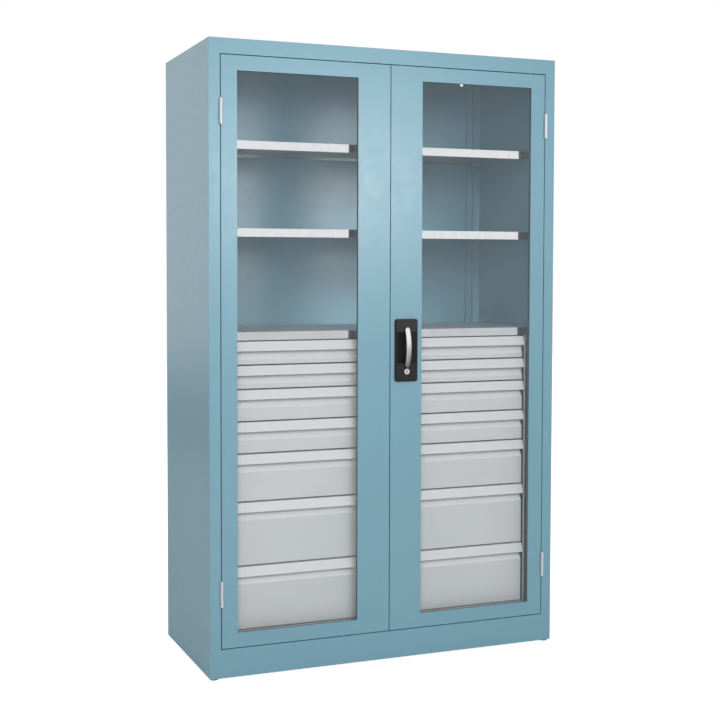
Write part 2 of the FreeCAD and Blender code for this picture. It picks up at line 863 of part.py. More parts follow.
def lever():
    """The bow lever: part of a ring between two round ends, on a spindle through plate and door."""
    lever_x = about("handle_x", "lever_width / 2")
    inner_radius = "bow_radius - lever_thickness"
    outside = bar_x("lever_bow_outside", "bow_radius", lever_x, "bow_y", "bow_z")
    inside = bar_x("lever_bow_inside", inner_radius, wider(lever_x, "overrun"), "bow_y", "bow_z")
    ring = cut("lever_ring", outside, inside)
    reach = block("lever_bow_reach", lever_x, ("lever_front", "lever_back"), ("lever_low_z", "pivot_z"))
    end_y = ("lever_back - lever_thickness", "lever_back")
    ends = [
        bar_y(f"lever_{end}_end", "lever_width / 2", "handle_x", end_y, z)
        for end, z in {"upper": "pivot_z", "lower": "lever_low_z"}.items()
    ]
    spindle = bar_y("lever_spindle", "spindle_radius", "handle_x", ("lever_back", "spindle_end"), "pivot_z")
    node("handle_lever", fuse("handle_lever", common("lever_bow_piece", ring, reach), *ends, spindle))


def lock():
    """The lock plug, the gearbox behind the handle, and the two rods with their guides."""
    plug_face = "plate_face - plug_stand_off"
    plug = bar_y("plug_barrel", "plug_radius", "handle_x", (plug_face, "front_plane + plug_tail"), "plug_z")
    key_slot = block(
        "plug_key_slot",
        about("handle_x", "key_slot_width / 2"),
        (f"{plug_face} - overrun", f"{plug_face} + key_slot_depth"),
        about("plug_z", "key_slot_height / 2"),
    )
    node("lock_plug", cut("lock_plug", plug, key_slot))

    inside_y = ("front_plane + sheet", "gearbox_back")
    box_z = about("pivot_z", "gearbox_half_height")
    case = block("gearbox_case", about("handle_x", "gearbox_half_width"), inside_y, box_z)
    bore = bar_y(
        "gearbox_bore",
        "spindle_radius + spindle_fit",
        "handle_x",
        ("front_plane - overrun", "spindle_end + rod_clearance"),
        "pivot_z",
    )
    ways = [rod_way(f"gearbox_{rod}_way", rod, wider(box_z, "overrun")) for rod in RODS]
    node("lock_gearbox", cut("lock_gearbox", case, bore, *ways))

    rod_ends = {
        "upper": ("pivot_z - rod_overlap", "door_top + door_gap / 2"),
        "lower": ("door_bottom - door_gap / 2", "pivot_z + rod_overlap"),
    }
    guide_middles = {
        "upper": ("door_top - guide_margin", "(door_top + pivot_z) / 2"),
        "lower": ("door_bottom + guide_margin", "(door_bottom + pivot_z) / 2"),
    }
    guides = []
    for rod in RODS:
        span_x = about(rod_x(rod), "rod_width / 2")
        span_y = about("rod_y", "rod_depth / 2")
        node(f"{rod}_lock_rod", block(f"{rod}_lock_rod", span_x, span_y, rod_ends[rod]))
        for index, middle in enumerate(guide_middles[rod], start=1):
            name = f"guide_{rod}_{index}"
            guide_z = about(middle, "guide_height / 2")
            guide_x = about(rod_x(rod), "rod_width / 2 + rod_clearance + gearbox_wall")
            body = block(f"{name}_body", guide_x, inside_y, guide_z)
            guides.append(cut(name, body, rod_way(f"{name}_way", rod, wider(guide_z, "overrun"))))
    node("rod_guides", together("rod_guides", guides))


def build():
    for side in SIDES:
        side_panel(side)
    levelling_feet()
    roof_panel()
    floor_and_plinth()
    back_panel()
    drawer_block()
    drawer_runners()
    for side in SIDES:
        for row in ROWS:
            drawer(side, row)
    shelf("cover_shelf", "inside_half_width - shelf_clearance", "cover_top", RETURNED_EDGE)
    shelf("middle_shelf", "shelf_half_width", "middle_shelf_top", FOLDED_EDGE)
    shelf("upper_shelf", "shelf_half_width", "upper_shelf_top", FOLDED_EDGE)
    shelf_uprights()
    shelf_brackets()
    door("left")
    door("right", *door_holes())
    hinges()
    escutcheon()
    lever()
    lock()


def check():
    """Stops before anything is written if an object failed or a sub-part has no sound shape."""
    doc.recompute()
    failed = [thing.Label for thing in doc.Objects if {"Invalid", "Error"} & set(thing.State)]
    unsound = [thing.Label for thing in nodes if thing.Shape.isNull() or not thing.Shape.isValid()]
    if failed or unsound:
        sys.exit(f"failed: {failed}; unsound: {unsound}")


build()
check()
os.makedirs("parts", exist_ok=True)
for piece in nodes:
    piece.Shape.exportStep(f"parts/{piece.Label}.step")
print(f"{len(nodes)} sub-parts written")
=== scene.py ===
import json
import math

import bmesh
import bpy
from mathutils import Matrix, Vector


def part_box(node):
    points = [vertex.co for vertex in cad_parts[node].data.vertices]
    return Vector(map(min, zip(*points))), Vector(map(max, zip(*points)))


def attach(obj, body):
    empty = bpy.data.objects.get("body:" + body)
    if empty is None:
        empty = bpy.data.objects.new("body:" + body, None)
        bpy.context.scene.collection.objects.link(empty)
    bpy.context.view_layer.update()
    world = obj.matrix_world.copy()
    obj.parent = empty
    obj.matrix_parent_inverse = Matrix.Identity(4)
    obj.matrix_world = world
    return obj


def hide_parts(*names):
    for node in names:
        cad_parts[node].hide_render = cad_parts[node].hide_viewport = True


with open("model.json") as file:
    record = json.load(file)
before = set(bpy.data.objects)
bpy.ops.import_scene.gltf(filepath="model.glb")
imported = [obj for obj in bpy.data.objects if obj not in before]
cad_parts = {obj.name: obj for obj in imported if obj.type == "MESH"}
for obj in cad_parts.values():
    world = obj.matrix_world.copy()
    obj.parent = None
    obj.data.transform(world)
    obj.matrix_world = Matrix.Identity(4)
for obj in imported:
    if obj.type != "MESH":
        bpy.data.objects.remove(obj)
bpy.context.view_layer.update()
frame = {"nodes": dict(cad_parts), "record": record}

MM = 0.001

# Camera: where it stands and how it looks at the cabinet. The front faces -Y.
CAMERA_PLACE = (-1.661, -3.7667, 1.2469)
CAMERA_YAW = math.radians(20.44)
CAMERA_PITCH = math.radians(-2.42)
CAMERA_LEVEL = math.radians(90)
CAMERA_LENS = 61.14
CAMERA_SENSOR = 36.0
CAMERA_SHIFT = (0.0991, -0.05)
CAMERA_REACH = 60.0


def make_camera():
    """The camera, at the photograph's viewing angle."""
    data = bpy.data.cameras.new("camera")
    data.sensor_width = CAMERA_SENSOR
    data.lens = CAMERA_LENS
    data.shift_x, data.shift_y = CAMERA_SHIFT
    data.clip_end = CAMERA_REACH
    camera = bpy.data.objects.new("camera", data)
    camera.location = CAMERA_PLACE
    camera.rotation_euler = (CAMERA_LEVEL + CAMERA_PITCH, 0.0, -CAMERA_YAW)
    bpy.context.collection.objects.link(camera)
    bpy.context.scene.camera = camera


# Materials

# The middle of a noise's values, which a finish spreads over a range of its own
NOISE_RANGE = (0.3, 0.7)


def new_material(name, colour, roughness, metallic=0.0, specular=0.5):
    """A material with its shader's plain values set."""
    material = bpy.data.materials.new(name)
    material.use_nodes = True
    shader = parts_of(material)[1]
    shader.inputs["Base Color"].default_value = (*colour, 1.0)
    shader.inputs["Roughness"].default_value = roughness
    shader.inputs["Metallic"].default_value = metallic
    shader.inputs["Specular IOR Level"].default_value = specular
    return material


def parts_of(material):
    """The node tree and the shader that a material's detail is wired to."""
    tree = material.node_tree
    return tree, tree.nodes["Principled BSDF"]


def add(tree, kind, **values):
    """A node with its properties and plain inputs set."""
    node = tree.nodes.new(kind)
    for name, value in values.items():
        if name in node.inputs:
            node.inputs[name].default_value = value
        else:
            setattr(node, name, value)
    return node


def noise(tree, scale, detail, stretch=None):
    """Noise in the object's own frame, in features per metre, drawn out along an axis where asked."""
    place = add(tree, "ShaderNodeTexCoord")
    texture = add(tree, "ShaderNodeTexNoise", Scale=scale, Detail=detail)
    source = place.outputs["Object"]
    if stretch:
        mapping = add(tree, "ShaderNodeMapping", Scale=stretch)
        tree.links.new(source, mapping.inputs["Vector"])
        source = mapping.outputs["Vector"]
    tree.links.new(source, texture.inputs["Vector"])
    return texture.outputs["Fac"]


def spread(tree, source, low, high, start=NOISE_RANGE[0], end=NOISE_RANGE[1]):
    """A value between a start and an end, brought to a range of its own."""
    ranged = add(tree, "ShaderNodeMapRange")
    ranged.inputs["From Min"].default_value = start
    ranged.inputs["From Max"].default_value = end
    ranged.inputs["To Min"].default_value = low
    ranged.inputs["To Max"].default_value = high
    tree.links.new(source, ranged.inputs["Value"])
    return ranged.outputs["Result"]


def rising(tree, source, start, end):
    """A mask that goes from 0 at a start to 1 at an end."""
    return spread(tree, source, 0.0, 1.0, start, end)


def falling(tree, source, start, end):
    """A mask that goes from 1 at a start to 0 at an end."""
    return spread(tree, source, 1.0, 0.0, start, end)


def total(tree, first, second):
    """The sum of two values."""
    both = add(tree, "ShaderNodeMath", operation="ADD")
    tree.links.new(first, both.inputs[0])
    tree.links.new(second, both.inputs[1])
    return both.outputs["Value"]


def shade_by(tree, shader, source, colour, depth):
    """Lets the base colour wander a little round its value."""
    ramp = add(tree, "ShaderNodeValToRGB")
    dark, pale = ramp.color_ramp.elements
    dark.position, pale.position = NOISE_RANGE
    dark.color = (*(c * (1 - depth) for c in colour), 1.0)
    pale.color = (*(min(1.0, c * (1 + depth)) for c in colour), 1.0)
    tree.links.new(source, ramp.inputs["Fac"])
    tree.links.new(ramp.outputs["Color"], shader.inputs["Base Color"])


def tint_by(tree, shader, mask, colour):
    """Turns the base colour towards another where a mask says so."""
    mixed = add(tree, "ShaderNodeMixRGB", Color2=(*colour, 1.0))
    tree.links.new(mask, mixed.inputs["Fac"])
    tree.links.new(shader.inputs["Base Color"].links[0].from_socket, mixed.inputs["Color1"])
    tree.links.new(mixed.outputs["Color"], shader.inputs["Base Color"])


def gloss_by(tree, shader, source, roughness, span):
    """Lets the roughness wander within a span round its value."""
    gloss = spread(tree, source, roughness - span, roughness + span)
    tree.links.new(gloss, shader.inputs["Roughness"])


def bump_by(tree, shader, source, strength, distance):
    """Gives the surface a fine relief."""
    bump = add(tree, "ShaderNodeBump", Strength=strength, Distance=distance)
    tree.links.new(source, bump.inputs["Height"])
    tree.links.new(bump.outputs["Normal"], shader.inputs["Normal"])


def facing_up(tree):
    """How far the surface looks up, from -1 to 1."""
    surface = add(tree, "ShaderNodeNewGeometry")
    axes = add(tree, "ShaderNodeSeparateXYZ")
    tree.links.new(surface.outputs["Normal"], axes.inputs["Vector"])
    return axes.outputs["Z"]


def within_box(tree):
    """The place within the object's own box, from 0 to 1 along each axis."""
    place = add(tree, "ShaderNodeTexCoord")
    axes = add(tree, "ShaderNodeSeparateXYZ")
    tree.links.new(place.outputs["Generated"], axes.inputs["Vector"])
    return axes.outputs


# Powder paint: features per metre and detail of its clouds, gloss and orange peel, and how far each goes
PAINT_CLOUDS = (2.5, 3.0)
PAINT_TONE = 0.02
PAINT_GLOSS = (40.0, 2.0)
PAINT_GLOSS_SPAN = 0.03
PAINT_PEEL = (1400.0, 1.0)
PAINT_PEEL_BUMP = (0.04, 0.2 * MM)


def powder_coat(name, colour, roughness, specular):
    """Baked powder paint: a fine orange peel, faint clouds in tone and gloss."""
    material = new_material(name, colour, roughness, specular=specular)
    tree, shader = parts_of(material)
    shade_by(tree, shader, noise(tree, *PAINT_CLOUDS), colour, PAINT_TONE)
    gloss_by(tree, shader, noise(tree, *PAINT_GLOSS), roughness, PAINT_GLOSS_SPAN)
    bump_by(tree, shader, noise(tree, *PAINT_PEEL), *PAINT_PEEL_BUMP)
    return material


# The drawers' paint on grips and on the steeper slopes, made paler as painted light, and underneath, made
# darker as painted shade, and the tilts between which each sets in
DRAWER_GRIP_PAINTED_LIGHT = (0.615, 0.63, 0.635)
DRAWER_GRIP_TILT = (0.05, 0.29)
DRAWER_SLOPE_PAINTED_LIGHT = (0.72, 0.735, 0.74)
DRAWER_SLOPE_TILT = (0.34, 0.48)
DRAWER_UNDER_PAINTED_SHADE = (0.1, 0.103, 0.106)
DRAWER_UNDER_TILT = (-0.5, -0.1)


def drawer_coat_painted_light(name, colour, roughness, specular):
    """The drawers' powder paint, with painted light on grips and slopes that tilt upwards and painted shade
    underneath.
    """
    material = powder_coat(name, colour, roughness, specular)
    tree, shader = parts_of(material)
    facing = facing_up(tree)
    # Painted light: paler paint on grips and on slopes that look up.
    tint_by(tree, shader, rising(tree, facing, *DRAWER_GRIP_TILT), DRAWER_GRIP_PAINTED_LIGHT)
    tint_by(tree, shader, rising(tree, facing, *DRAWER_SLOPE_TILT), DRAWER_SLOPE_PAINTED_LIGHT)
    # Painted shade: darker paint on faces that look down.
    tint_by(tree, shader, falling(tree, facing, *DRAWER_UNDER_TILT), DRAWER_UNDER_PAINTED_SHADE)
    return material


# Zinc-coated sheet: crystals per metre, how far tone and gloss differ between them, and its shallow dents
ZINC_CRYSTALS = 70.0
ZINC_TONE = 0.02
ZINC_GLOSS_SPAN = 0.02
ZINC_DENTS = (300.0, 2.0)
ZINC_DENT_BUMP = (0.03, 0.3 * MM)
# Its darker tone underneath, a painted shade, and the tilts where that ends and where the wear of level faces
# sets in
ZINC_UNDER_PAINTED_SHADE = (0.5, 0.48, 0.46)
ZINC_UNDER_TILT = (-0.9, -0.6)
ZINC_LEVEL_TILT = (0.6, 0.95)


def galvanised(name, colour, roughness, worn):
    """Zinc-coated sheet: crystals that differ in tone and gloss, worn on level faces, with painted shade
    underneath.
    """
    material = new_material(name, colour, roughness, metallic=1.0)
    tree, shader = parts_of(material)
    place = add(tree, "ShaderNodeTexCoord")
    crystals = add(tree, "ShaderNodeTexVoronoi", Scale=ZINC_CRYSTALS)
    tree.links.new(place.outputs["Object"], crystals.inputs["Vector"])
    tone = add(tree, "ShaderNodeSeparateColor")
    tree.links.new(crystals.outputs["Color"], tone.inputs["Color"])
    shade_by(tree, shader, tone.outputs["Red"], colour, ZINC_TONE)
    facing = facing_up(tree)
    level = add(tree, "ShaderNodeMath", operation="ABSOLUTE")
    tree.links.new(facing, level.inputs[0])
    wear = spread(tree, level.outputs["Value"], roughness, worn, *ZINC_LEVEL_TILT)
    grain = spread(tree, tone.outputs["Green"], -ZINC_GLOSS_SPAN, ZINC_GLOSS_SPAN)
    tree.links.new(total(tree, wear, grain), shader.inputs["Roughness"])
    # Painted shade: darker zinc on faces that look down.
    tint_by(tree, shader, falling(tree, facing, *ZINC_UNDER_TILT), ZINC_UNDER_PAINTED_SHADE)
    bump_by(tree, shader, noise(tree, *ZINC_DENTS), *ZINC_DENT_BUMP)
    return material


# The cover over the drawers: its paler tone on top, a painted light, and the share of bare metal there
COVER_TOP_PAINTED_LIGHT = (0.7, 0.715, 0.73)
COVER_METAL = 0.6


def zinc_with_painted_light_top(name, colour, roughness, worn):
    """Zinc-coated sheet with its top painted paler and less metallic, as painted light on the level face."""
    material = galvanised(name, colour, roughness, worn)
    tree, shader = parts_of(material)
    facing = facing_up(tree)
    # Painted light: paler zinc on the level top.
    tint_by(tree, shader, rising(tree, facing, *ZINC_LEVEL_TILT), COVER_TOP_PAINTED_LIGHT)
    metal = spread(tree, facing, 1.0, COVER_METAL, *ZINC_LEVEL_TILT)
    tree.links.new(metal, shader.inputs["Metallic"])
    return material


# Drawn metal: its fine lines along Z, and how far tone, gloss and relief follow them
DRAWN_LINES = (600.0, 2.0, (1.0, 1.0, 0.02))
DRAWN_TONE = 0.02
DRAWN_GLOSS_SPAN = 0.03
DRAWN_BUMP = (0.02, 0.1 * MM)


def drawn_metal(name, colour, roughness):
    """Plated or polished metal with fine upright lines."""
    material = new_material(name, colour, roughness, metallic=1.0)
    tree, shader = parts_of(material)
    lines = noise(tree, *DRAWN_LINES)
    gloss_by(tree, shader, lines, roughness, DRAWN_GLOSS_SPAN)
    shade_by(tree, shader, lines, colour, DRAWN_TONE)
    bump_by(tree, shader, lines, *DRAWN_BUMP)
    return material


# The lever's plating: its darker tone towards the lower end, a painted reflection, and the share of its
# length in which it clears up
LEVER_LOW_PAINTED_SHADE = (0.22, 0.22, 0.225)
LEVER_FADE = (0.0, 0.62)


def metal_with_painted_low_shade(name, colour, roughness):
    """Polished metal painted darker towards its lower end, as a painted reflection."""
    material = drawn_metal(name, colour, roughness)
    tree, shader = parts_of(material)
    # Painted reflection: darker towards the lever's lower end.
    tint_by(tree, shader, falling(tree, within_box(tree)["Z"], *LEVER_FADE), LEVER_LOW_PAINTED_SHADE)
    return material


# Moulded plastic or rubber: its clouds, gloss and grain, and how far each goes
MOULD_SPECULAR = 0.3
MOULD_CLOUDS = (25.0, 2.0)
MOULD_TONE = 0.08
MOULD_GLOSS = (120.0, 2.0)
MOULD_GLOSS_SPAN = 0.05
MOULD_GRAIN_DETAIL = 3.0
MOULD_GRAIN_BUMP = (0.25, 0.3 * MM)
PLASTIC_GRAIN = 900.0
RUBBER_GRAIN = 500.0


def moulded(name, colour, roughness, grain):
    """Moulded plastic or rubber with a fine grain."""
    material = new_material(name, colour, roughness, specular=MOULD_SPECULAR)
    tree, shader = parts_of(material)
    shade_by(tree, shader, noise(tree, *MOULD_CLOUDS), colour, MOULD_TONE)
    gloss_by(tree, shader, noise(tree, *MOULD_GLOSS), roughness, MOULD_GLOSS_SPAN)
    bump_by(tree, shader, noise(tree, grain, MOULD_GRAIN_DETAIL), *MOULD_GRAIN_BUMP)
    return material


# The plate under the lever: its darker tones low down and in the recess, both painted shade, and where in its
# box they begin and end
PLATE_LOW_PAINTED_SHADE = (0.007, 0.007, 0.008)
PLATE_FADE = (0.1, 0.9)
PLATE_RECESS_PAINTED_SHADE = (0.003, 0.003, 0.0035)
PLATE_DEPTH = (0.02, 0.1)


def plate_plastic(name, colour, roughness, grain):
    """The moulded plate under the lever, with painted shade low down and in its recess."""
    material = moulded(name, colour, roughness, grain)
    tree, shader = parts_of(material)
    place = within_box(tree)
    # Painted shade: darker low down and in the recess.
    tint_by(tree, shader, falling(tree, place["Z"], *PLATE_FADE), PLATE_LOW_PAINTED_SHADE)
    tint_by(tree, shader, rising(tree, place["Y"], *PLATE_DEPTH), PLATE_RECESS_PAINTED_SHADE)
    return material


# The film on a pane: its streaks, how far it changes the clearness, and the roughness from end to end
FILM_STREAKS = (6.0, 3.0, (1.0, 1.0, 0.4))
FILM_SPAN = 0.15
FILM_ROUGHNESS = (0.02, 0.05)
PANE_ROUGHNESS = 0.03


def clear_pane(name, colour, alpha, specular):
    """A clear pane that lets light through, with a faint uneven film on it."""
    material = new_material(name, colour, PANE_ROUGHNESS, specular=specular)
    tree, shader = parts_of(material)
    film = noise(tree, *FILM_STREAKS)
    clearness = spread(tree, film, alpha * (1 - FILM_SPAN), alpha * (1 + FILM_SPAN))
    tree.links.new(clearness, shader.inputs["Alpha"])
    tree.links.new(spread(tree, film, *FILM_ROUGHNESS), shader.inputs["Roughness"])
    return material


# Every finish: what makes it, its colour, and then
#   paint: roughness and specular level
#   zinc: roughness of upright and of level faces
#   metal: roughness
#   plastic and rubber: roughness and grain
#   pane: alpha and specular level
FINISHES = {
    "body_paint": (powder_coat, (0.17, 0.345, 0.43), 0.31, 0.7),
    "drawer_paint": (drawer_coat_painted_light, (0.545, 0.56, 0.565), 0.4, 0.5),
    "galvanised": (galvanised, (0.8, 0.805, 0.81), 0.07, 0.45),
    # The cover's zinc is a darker copy of the galvanised finish: painted shade for the dimmer light it
    # mirrors.
    "galvanised_dull": (zinc_with_painted_light_top, (0.56, 0.575, 0.6), 0.1, 0.5),
    "hinge_steel": (drawn_metal, (0.73, 0.71, 0.72), 0.5),
    "lever_metal": (drawn_metal, (0.85, 0.85, 0.86), 0.35),
    "lever_pull": (metal_with_painted_low_shade, (0.84, 0.84, 0.85), 0.38),
    # The drawer block's walls are painted near black, as painted shade in the gap beside the drawers.
    "block_steel": (powder_coat, (0.04, 0.042, 0.045), 0.55, 0.3),
    # A paler copy of the drawers' paint, as painted light.
    "edge_paint": (powder_coat, (0.72, 0.735, 0.74), 0.4, 0.5),
    "plate_plastic": (plate_plastic, (0.019, 0.0185, 0.018), 0.5, PLASTIC_GRAIN),
    "black_plastic": (moulded, (0.012, 0.012, 0.013), 0.5, PLASTIC_GRAIN),
    # Near-black plastic, as painted shade.
    "dark_plastic": (moulded, (0.044, 0.043, 0.045), 0.6, PLASTIC_GRAIN),
    "glide_plastic": (moulded, (0.12, 0.22, 0.27), 0.5, PLASTIC_GRAIN),
    "seal_rubber": (moulded, (0.13, 0.14, 0.146), 0.6, RUBBER_GRAIN),
    "window": (clear_pane, (0.76, 0.85, 0.92), 0.05, 0.33),
}

# Nodes that take another finish than their slot's own
OWN_FINISHES = {
    # The cover takes a darker zinc, as painted shade.
    "cover_shelf": "galvanised_dull",
    # Near-black walls, as painted shade in the gap beside the drawers.
    "block_side_walls": "block_steel",
    "handle_escutcheon": "plate_plastic",
}


def make_materials():
    """The materials of all finishes, by the finish's name."""
    return {name: make(name, *values) for name, (make, *values) in FINISHES.items()}


def dress_nodes(materials):
    """Every CAD node gets the material of its slot, or the finish that is its own."""
    for part in frame["record"]["subparts"]:
        node = frame["nodes"][part["node"]]
        finish = OWN_FINISHES.get(part["node"], part["material_slot"])
        node.data.materials.clear()
        node.data.materials.append(materials[finish])


# Rounded edges: the width of the bend and its segments. A CAD node's go by a word in its name, and None
# leaves them sharp.
SHEET_EDGE = (1.2 * MM, 2)
NODE_EDGES = {
    "pane": None,
    "seal": (0.6 * MM, 2),
    "drawer": (2.6 * MM, 3),
    "escutcheon": (1.0 * MM, 2),
}
CLIP_EDGE = (0.5 * MM, 2)
FILLER_EDGE = (0.5 * MM, 2)
PALE_STRIP_EDGE = (0.3 * MM, 2)
# Faces that turn by less are flat, and edges that turn by more are rounded
FLAT_ANGLE = math.radians(1.0)
EDGE_ANGLE = math.radians(30.0)


def round_edges(item, width, segments):
    """Takes the sharpness off the edges of a folded or moulded item."""
    bevel = item.modifiers.new("bend", "BEVEL")
    bevel.width = width
    bevel.segments = segments
    bevel.limit_method = "ANGLE"
    bevel.angle_limit = EDGE_ANGLE


def soften_nodes():
    """Merges the flat faces of the CAD nodes and rounds the edges between the others."""
    for name, node in frame["nodes"].items():
        edge = next((NODE_EDGES[word] for word in NODE_EDGES if word in name), SHEET_EDGE)
        if edge:
            flat = node.modifiers.new("flat", "DECIMATE")
            flat.decimate_type = "DISSOLVE"
            flat.angle_limit = FLAT_ANGLE
            round_edges(node, *edge)


# Pieces


def new_piece(name, form, body, material, smooth):
    """An object made from a form, riding on a body, with a material."""
    bmesh.ops.recalc_face_normals(form, faces=form.faces)
    mesh = bpy.data.meshes.new(name)
    form.to_mesh(mesh)
    form.free()
    mesh.materials.append(material)
    for face in mesh.polygons:
        face.use_smooth = smooth
    piece = bpy.data.objects.new(name, mesh)
    bpy.context.collection.objects.link(piece)
    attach(piece, body)
    return piece


def band(form, lower, upper):
    """Faces between two rings of points. A ring of one point closes the form."""
    count = max(len(lower), len(upper))
    for i in range(count):
        j = (i + 1) % count
        below = [lower[i % len(lower)], lower[j % len(lower)]]
        above = [upper[j % len(upper)], upper[i % len(upper)]]
        form.faces.new(list(dict.fromkeys(below + above)))


TURNED_SIDES = 20


def turned(form, place, axis, profile, sides=TURNED_SIDES):
    """A turned form: rings of a radius at a height along the axis. A ring may have flats, as a socket has."""
    along = Vector(axis)
    across = along.orthogonal().normalized()
    other = along.cross(across)
    rings = []
    for radius, height, *flats in profile:
        centre = Vector(place) + along * height
        if radius == 0:
            rings.append([form.verts.new(centre)])
            continue
        ring = []
        for step in range(sides):
            angle = 2 * math.pi * step / sides
            reach = radius
            if flats:
                part = 2 * math.pi / flats[0]
                reach = radius * math.cos(part / 2) / math.cos(angle % part - part / 2)
            way = across * math.cos(angle) + other * math.sin(angle)
            ring.append(form.verts.new(centre + way * reach))
        rings.append(ring)
    for lower, upper in zip(rings, rings[1:]):
        band(form, lower, upper)


def drawn(form, outline, start, end):
    """A form with one outline, drawn from a start to an end, which turn the outline's points into vectors."""
    rings = [[form.verts.new(place(u, v)) for u, v in outline] for place in (start, end)]
    band(form, *rings)
    form.faces.new(rings[0])
    form.faces.new(rings[1])


def scaled(profile, radius, height):
    """A profile in shares of a radius and a height, brought to size."""
    return [(r * radius, h * height, *flats) for r, h, *flats in profile]


# Heads of fasteners: their height as a share of the radius, and their profile in shares of radius and height.
# A third number is the count of flats that a ring has.
SCREW_HEIGHT = 0.6
SCREW_SIDES = 24
SCREW_PROFILE = [
    (0.0, 0.0),
    (0.97, 0.0),
    (1.0, 0.2),
    (0.93, 0.6),
    (0.75, 0.9),
    (0.56, 1.0),
    (0.5, 0.97, 6),
    (0.5, 0.35, 6),
    (0.0, 0.35),
]
RIVET_HEIGHT = 0.3
RIVET_PROFILE = [
    (0.0, 0.0),
    (1.0, 0.0),
    (1.0, 0.25),
    (0.8, 0.5),
    (0.5, 0.88),
    (0.0, 1.0),
]
# Fasteners stand on faces that look to the back
BACKWARDS = (0, 1, 0)


def screw(form, place, radius):
    """A button-head screw with a hexagon socket."""
    turned(form, place, BACKWARDS, scaled(SCREW_PROFILE, radius, radius * SCREW_HEIGHT), SCREW_SIDES)


def rivet(form, place, radius):
    """A low domed rivet head with a small flat rim."""
    turned(form, place, BACKWARDS, scaled(RIVET_PROFILE, radius, radius * RIVET_HEIGHT))


def steps(low, high, count):
    """Places at even steps between two ends, both included."""
    return [low + (high - low) * i / (count - 1) for i in range(count)]


LEVER_THICKNESS = 8 * MM
LEVER_GAP = 0.5 * MM
LEVER_STATIONS = 48
LEVER_SIDES = 28
# How square the lever's section is: 2 is an ellipse
LEVER_SQUARENESS = 2.7


def lever_ring(form, middle, normal, half_width, half_thickness):
    """One ring of the lever's section, across X and along its own normal."""
    power = 2 / LEVER_SQUARENESS
    ring = []
    for step in range(LEVER_SIDES):
        angle = 2 * math.pi * step / LEVER_SIDES
        cosine, sine = math.cos(angle), math.sin(angle)
        u = math.copysign(abs(cosine) ** power, cosine) * half_width
        v = math.copysign(abs(sine) ** power, sine) * half_thickness
        ring.append(form.verts.new(middle + Vector((u, 0.0, 0.0)) + normal * v))
    return ring


def make_lever(material):
    """The bow lever: a rounded bar that swells away from the plate and ends in round tips."""
    low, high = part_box("handle_lever")
    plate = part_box("handle_escutcheon")[0].y
    middle_x = (low.x + high.x) / 2
    half_width = (high.x - low.x) / 2
    back = plate - LEVER_GAP
    bow = back - LEVER_THICKNESS - low.y
    half_length = (high.z - low.z) / 2
    middle_z = (high.z + low.z) / 2
    straight = half_length - half_width
    form = bmesh.new()
    rings = []
    for step in range(LEVER_STATIONS + 1):
        turn = math.pi * step / LEVER_STATIONS
        along = -math.cos(turn) * half_length
        tip = max(0.0, abs(along) - straight) / half_width
        fullness = math.sqrt(max(0.0, 1.0 - tip * tip))
        share = min(1.0, abs(along) / straight)
        slope = 2 * bow * math.copysign(share, along) / straight
        depth = back - LEVER_THICKNESS / 2 - bow * (1 - share * share)
        centre = Vector((middle_x, depth, middle_z + along))
        normal = Vector((0.0, 1.0, -slope)).normalized()
        if fullness == 0.0:
            rings.append([form.verts.new(centre)])
            continue
        half_thickness = LEVER_THICKNESS / 2 * math.sqrt(fullness)
        rings.append(lever_ring(form, centre, normal, half_width * fullness, half_thickness))
    for lower, upper in zip(rings, rings[1:]):
        band(form, lower, upper)
    lever = new_piece("bow_lever", form, "handle_lever", material, True)
    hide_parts("handle_lever")


# The keyway in the lock plug, in millimetres across and up, with the wards that a key has to pass
KEYWAY = [
    (-0.9, -4.9),
    (0.9, -4.9),
    (0.9, -2.2),
    (0.2, -1.6),
    (0.2, 0.4),
    (1.3, 1.2),
    (1.3, 4.9),
    (-1.3, 4.9),
    (-1.3, 2.6),
    (-0.4, 1.8),
    (-0.4, -1.0),
    (-0.9, -1.8),
]
# Where it begins and ends, in millimetres back from the plug's front
KEYWAY_FRONT = 0.5
KEYWAY_BACK = 3.9


def make_keyway(material):
    """The keyway in the lock plug, as a black insert that stands in for the shade deep inside it."""
    low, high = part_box("lock_plug")
    middle_x = (low.x + high.x) / 2
    middle_z = (low.z + high.z) / 2

    def at(depth):
        return lambda u, v: Vector((middle_x + u * MM, low.y + depth * MM, middle_z + v * MM))

    form = bmesh.new()
    drawn(form, KEYWAY, at(KEYWAY_FRONT), at(KEYWAY_BACK))
    new_piece("lock_keyway_shade", form, "lock_plug", material, False)


# A hinge pin's domed end, in shares of its radius
PIN_RADIUS = 4.2 * MM
PIN_PROFILE = [
    (0.0, -0.3),
    (1.0, -0.3),
    (1.0, 0.1),
    (0.85, 0.28),
    (0.5, 0.42),
    (0.0, 0.46),
]


def make_pin_caps(material):
    """The domed ends of the hinge pins: the lower ones ride on the frame, the upper ones on the doors."""
    profile = scaled(PIN_PROFILE, PIN_RADIUS, PIN_RADIUS)
    frame_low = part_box("frame_hinge_knuckles")[0]
    lower_form = bmesh.new()
    for side in ("left", "right"):
        low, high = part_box(f"{side}_door_knuckles")
        x = (low.x + high.x) / 2
        y = low.y + (high.x - low.x) / 2
        upper_form = bmesh.new()
        barrel = 2 * (low.z - frame_low.z)
        for top in (frame_low.z + barrel, high.z):
            turned(upper_form, (x, y, top), (0, 0, 1), profile)
            turned(lower_form, (x, y, top - barrel), (0, 0, -1), profile)
        new_piece(f"{side}_pin_tops", upper_form, f"{side}_door", material, True)
    new_piece("pin_feet", lower_form, "cabinet", material, True)


LOCK_SCREW = 3.2 * MM
GEARBOX_SCREW_INSET = 7 * MM
GUIDE_SCREW_INSET = 12 * MM


